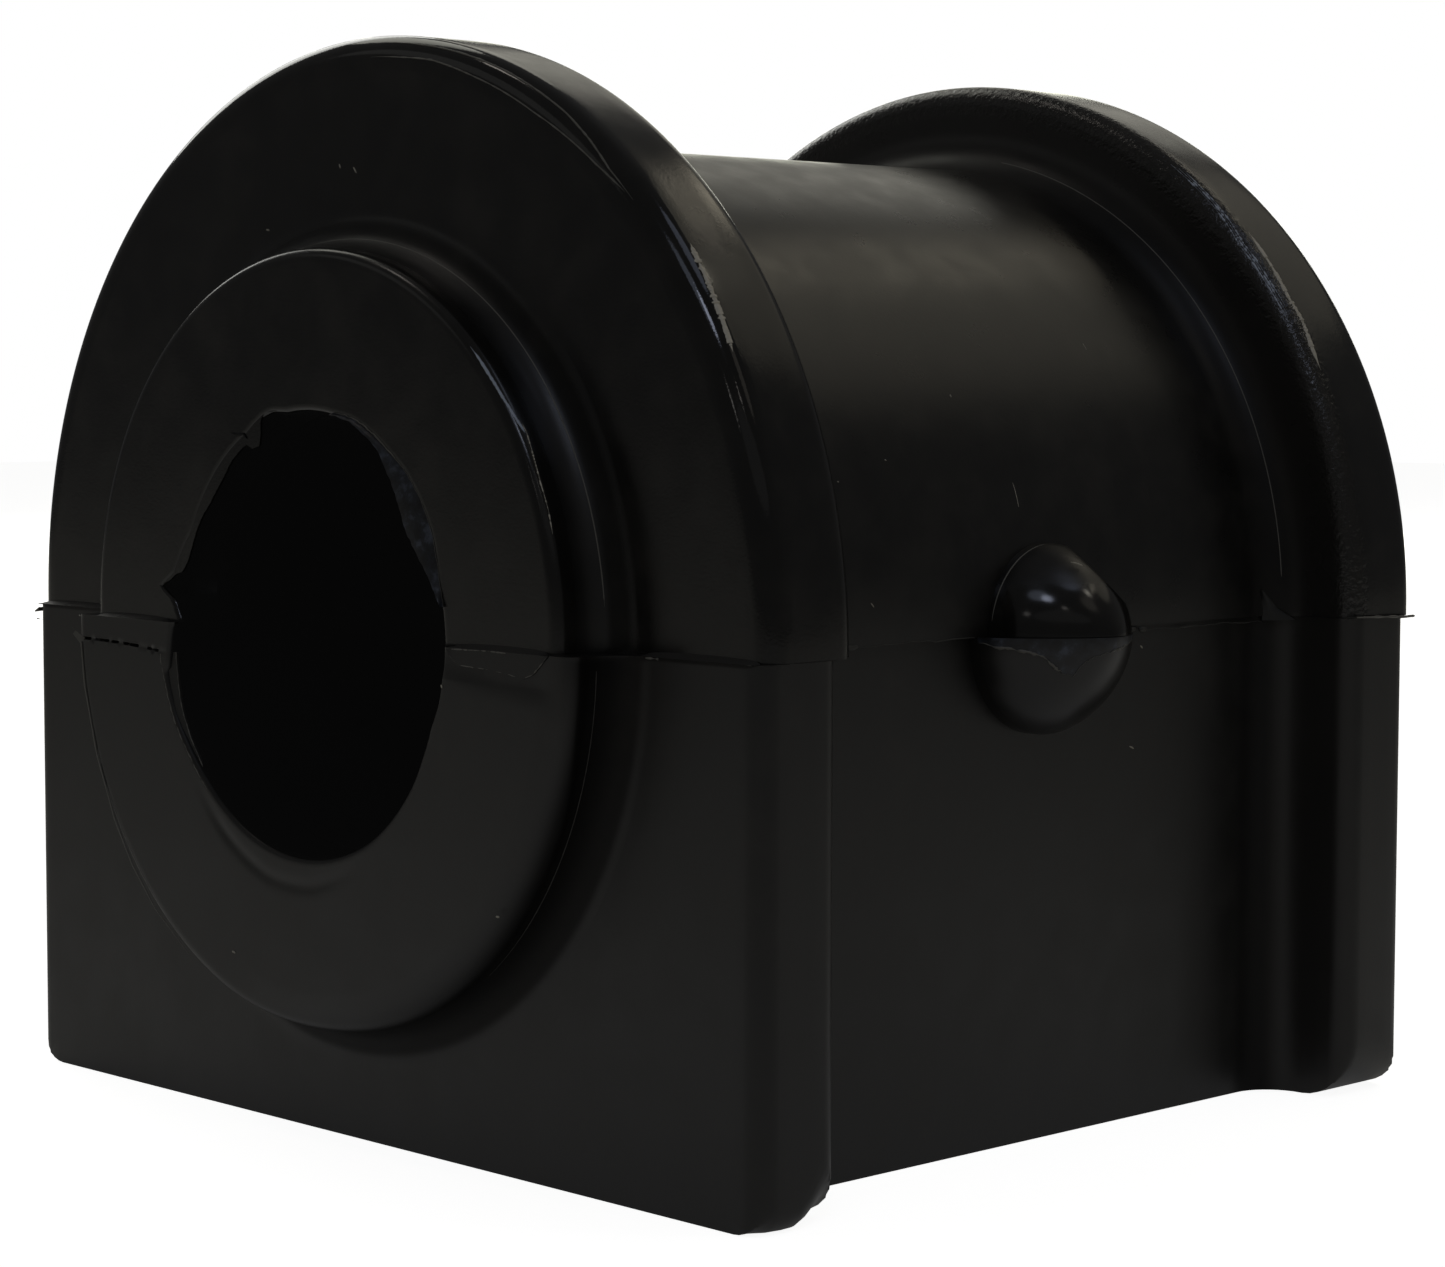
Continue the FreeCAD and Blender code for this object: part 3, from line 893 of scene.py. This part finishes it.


# Painted highlights on the rounded edges: pale lines, warm streaks and bluish speckle where the lamps catch
# the front and rear rims and the collar's edge
rim_line("rim_line_outer", FRONT_RIM, [
    (86, 41), (80.6, 42), (76.5, 44.5), (68.3, 48), (58.4, 47), (53.9, 39), (49.9, 28), (45.5, 28),
], 0.07, 71, EDGE_HIGHLIGHT)
rim_line("rim_line_inner", FRONT_RIM, [
    (88, 3), (83.4, 4), (78.3, 9), (71.7, 3.4), (61.6, 1.7), (55.3, 8.5), (51.3, 12.5), (46.8, 24),
], 0.055, 72, EDGE_HIGHLIGHT)
rim_line("rim_streak_front", FRONT_RIM, [
    (39.0, 92), (37.3, 88), (35.4, 86), (33, 82), (29.7, 77), (27.5, 74),
], 0.42, 74, WARM_GLINT, 0.76)
rim_line("rim_streak_rear", REAR_RIM, [
    (44, 92), (39.3, 88.7), (34.6, 81.7), (32.1, 88), (28.6, 78), (26, 76),
], 0.34, 75, WARM_GLINT, 0.72)
for i, (shift, thick) in enumerate(((-6, 0.1), (0, 0.14), (6, 0.12))):
    places = np.array(SPECKLE) + np.array([0.0, shift])
    # The three rows are staggered at their ends
    places[[0, -1], 0] += (-i, i)
    rim_line("rim_speckle_" + str(i), REAR_RIM, places, thick, 76 + i, BLUISH_GLINT, 0.5, 0.6)
rim_line("collar_streak", COLLAR_EDGE, [
    (48, 42), (45.8, 44), (41.9, 45), (38.1, 50), (34.3, 64), (31.5, 82),
], 0.13, 80, BLUISH_GLINT, 0.6)
rim_line("collar_streak_end", COLLAR_EDGE, [
    (33, 86), (31.5, 90), (28, 80), (24, 72), (19.5, 76), (16, 72),
], 0.06, 81, WARM_GLINT, 0.4, 0.4)

# Lint on the front: x, y, z, length, thickness and turn in radians
SPECKS = [(-0.56, FACE_UP, 29.26, 0.5, 0.04, 0.9), (-9.81, FACE_UP, 25.74, 0.35, 0.05, 0.2),
          (-2.11, FACE_UP, 29.57, 0.3, 0.04, 1.2), (-7.45, FRONT_LOW, -21.13, 0.35, 0.06, 0.3),
          (19.05, FRONT_LOW, -15.8, 0.3, 0.06, 0.0), (13.9, FRONT_LOW, -2.4, 0.22, 0.055, 1.2)]
# Hairs on the body's arch: y, degrees up from the parting plane, length, thickness and turn
HAIRS = [(-5.1, 28.0, 0.2, 0.04, 1.5), (-12.9, 20.1, 0.15, 0.03, 0.4), (-1.6, 15.5, 1.6, 0.012, 1.5),
         (-15.9, 3.6, 0.35, 0.03, 0.8), (-17.5, 17.7, 0.15, 0.03, 0.4), (10.3, 35.0, 0.5, 0.015, 1.5)]


def speck(name, at, normal, length, thick, turn):
    """A short fleck or hair that lies on the surface, slightly bowed."""
    at, normal = np.asarray(at, float), unit(np.asarray(normal, float))
    level = unit(np.cross(normal, np.array([0.0, 0.0, 1.0])) + 1e-9)
    rise = np.cross(level, normal)
    ahead = level * math.cos(turn) + rise * math.sin(turn)
    run = np.linspace(-0.5, 0.5, 13)
    bow = 0.12 * length * (run * run)[:, None] * np.cross(normal, ahead)
    path = at + ahead * (run * length)[:, None] + bow + normal * (thick * 0.15)
    bead(name, path, 0.01 + thick * np.sqrt(np.clip(1 - (2 * run) ** 2, 0, 1)), LINT)


for i, (*at, length, thick, turn) in enumerate(SPECKS):
    speck("lint_" + str(i), at, TOWARDS, length, thick, turn)
for i, (y, rise, *shape) in enumerate(HAIRS):
    a = math.radians(rise)
    at = (BODY_R * math.cos(a) + SLIP_X, y, BODY_R * math.sin(a) + ARCH_RISE)
    speck("hair_" + str(i), at, (math.cos(a), 0.0, math.sin(a)), *shape)
speck("hair_nub", (34.0, -0.75, 4.55), (0.75, 0.0, 0.7), 0.95, 0.04, 0.35)
speck("fleck_0", (LOWER_BODY_HALF + 0.15, 10.26, -1.5), (1.0, 0.0, 0.0), 0.3, 0.045, 0.7)
speck("fleck_1", (LOWER_BODY_HALF + 0.15, 9.35, -8.09), (1.0, 0.0, 0.0), 0.5, 0.045, 0.4)

# Camera, fitted to the outlines of the flanges, collar and base
CAMERA_AT = (175.21, -168.0, 16.29)
AZIMUTH, PITCH, ROLL = 46.006, 4.253, 0.111
LENS_MM = 86.41


def add_camera():
    """The photo's camera: level right vector turned by the roll, looking down by the pitch."""
    a, e, r = (math.radians(v) for v in (AZIMUTH, PITCH, ROLL))
    ahead = Vector((-math.sin(a) * math.cos(e), math.cos(a) * math.cos(e), -math.sin(e)))
    level = Vector((math.cos(a), math.sin(a), 0.0))
    top = level.cross(ahead)
    right = level * math.cos(r) + top * math.sin(r)
    top = top * math.cos(r) - level * math.sin(r)
    data = bpy.data.cameras.new("camera")
    data.sensor_width = 36.0
    data.lens = LENS_MM
    data.clip_start = 0.01
    camera = bpy.data.objects.new("camera", data)
    turn = Matrix((right, top, -ahead)).transposed().to_4x4()
    camera.matrix_world = Matrix.Translation(Vector(CAMERA_AT) * MM) @ turn
    bpy.context.scene.collection.objects.link(camera)
    bpy.context.scene.camera = camera


def add_floor():
    """A plain pale table top under the base. It is white to the camera and keeps the shadow, and in
    reflections it glows with painted light, brightest near the base."""
    size = 1.5
    level = -AXIS_HEIGHT * MM
    mesh = bpy.data.meshes.new("floor")
    mesh.from_pydata([(-size, -size, level), (size, -size, level), (size, size, level),
                      (-size, size, level)], [], [(0, 1, 2, 3)])
    material, tree = new_material("pale_table")
    paths = node(tree, "LightPath")
    place = node(tree, "TexCoord").outputs["Object"]
    reach = node(tree, "VectorMath", [place], operation="LENGTH").outputs["Value"]
    painted_glow_near = node(tree, "MapRange", [reach, 0.07, 0.3, 0.16, 0.02], interpolation_type="SMOOTHSTEP")
    strength = weighted(tree, 0.0, [(paths.outputs["Is Camera Ray"], 0.92),
                                    (paths.outputs["Is Glossy Ray"], painted_glow_near)])
    matt = node(tree, "BsdfDiffuse", {"Color": srgb("#d8d6d0")})
    glow = node(tree, "Emission", {"Color": srgb("#ffffff"), "Strength": strength})
    node(tree, "OutputMaterial", [node(tree, "AddShader", [matt, glow])])
    mesh.materials.append(material)
    obj = bpy.data.objects.new("floor", mesh)
    bpy.context.scene.collection.objects.link(obj)


def add_world():
    """White behind the object, and a dim room for everything else."""
    world = bpy.data.worlds.new("studio")
    bpy.context.scene.world = world
    world.use_nodes = True
    tree = world.node_tree
    tree.nodes.clear()
    camera_ray = node(tree, "LightPath").outputs["Is Camera Ray"]
    room = node(tree, "Background", {"Color": srgb("#ffffff"), "Strength": 0.07})
    white = node(tree, "Background", {"Color": srgb("#ffffff"), "Strength": 1.0})
    node(tree, "OutputWorld", [node(tree, "MixShader", [camera_ray, room, white])])


# Lamps: the way to each from the -Y side towards +X and up, in degrees, its size in millimetres, and
# its red, green and blue radiance with white at 1
LAMPS = {
    "window_front": (36, 51, (280, 220), (0.55, 0.62, 0.78)),
    "window_right": (112, 65, (360, 260), (0.5, 0.56, 0.72)),
    "ceiling_left": (-62, 62, (150, 150), (2.4, 2.2, 2.0)),
    "side_low": (-108, 26, (560, 340), (2.0, 2.0, 1.9)),
    "side_high": (-105, 46, (440, 280), (1.25, 1.24, 1.1)),
    "back_left": (-142, 30, (460, 330), (0.6, 0.58, 0.5)),
    "back_warm": (170, 42, (700, 360), (0.27, 0.25, 0.2)),
    "back_spot": (184, 46, (190, 60), (2.0, 1.8, 1.4)),
    "right_strip": (146, 48.5, (300, 36), (2.0, 1.85, 1.5)),
    "right_spot": (123, 50.5, (80, 65), (6.5, 6.1, 5.3)),
    "front_blue": (48, 48, (145, 125), (3.5, 3.8, 4.8)),
    "small_left": (24, 26, (80, 65), (1.3, 1.25, 1.2)),
    "small_right": (65, 37, (65, 55), (1.6, 1.5, 1.4)),
    "right_soft": (105, 42, (260, 240), (0.25, 0.23, 0.2)),
    "back_low": (-140, 8, (540, 200), (3.2, 3.2, 2.7)),
    "fill_left": (-42, 27, (500, 300), (0.12, 0.12, 0.115)),
    "fill_right": (60, 26, (900, 250), (0.06, 0.06, 0.06)),
}
LAMP_DISTANCE = 0.9


def lamp(name, azimuth, height, size, light):
    """A soft oval lamp that faces the object. Its power is pi times its area times its radiance."""
    a, e = math.radians(azimuth), math.radians(height)
    towards = Vector((math.sin(a) * math.cos(e), -math.cos(a) * math.cos(e), math.sin(e)))
    data = bpy.data.lights.new(name, "AREA")
    data.shape = "ELLIPSE"
    data.size, data.size_y = size[0] * MM, size[1] * MM
    peak = max(light)
    data.energy = math.pi * math.pi / 4.0 * data.size * data.size_y * peak
    data.color = [v / peak for v in light]
    made = bpy.data.objects.new(name, data)
    made.location = towards * LAMP_DISTANCE
    made.rotation_euler = (-towards).to_track_quat("-Z", "Y").to_euler()
    bpy.context.scene.collection.objects.link(made)


add_camera()
add_floor()
add_world()
for name, values in LAMPS.items():
    lamp(name, *values)
bpy.context.scene.view_settings.view_transform = "Standard"
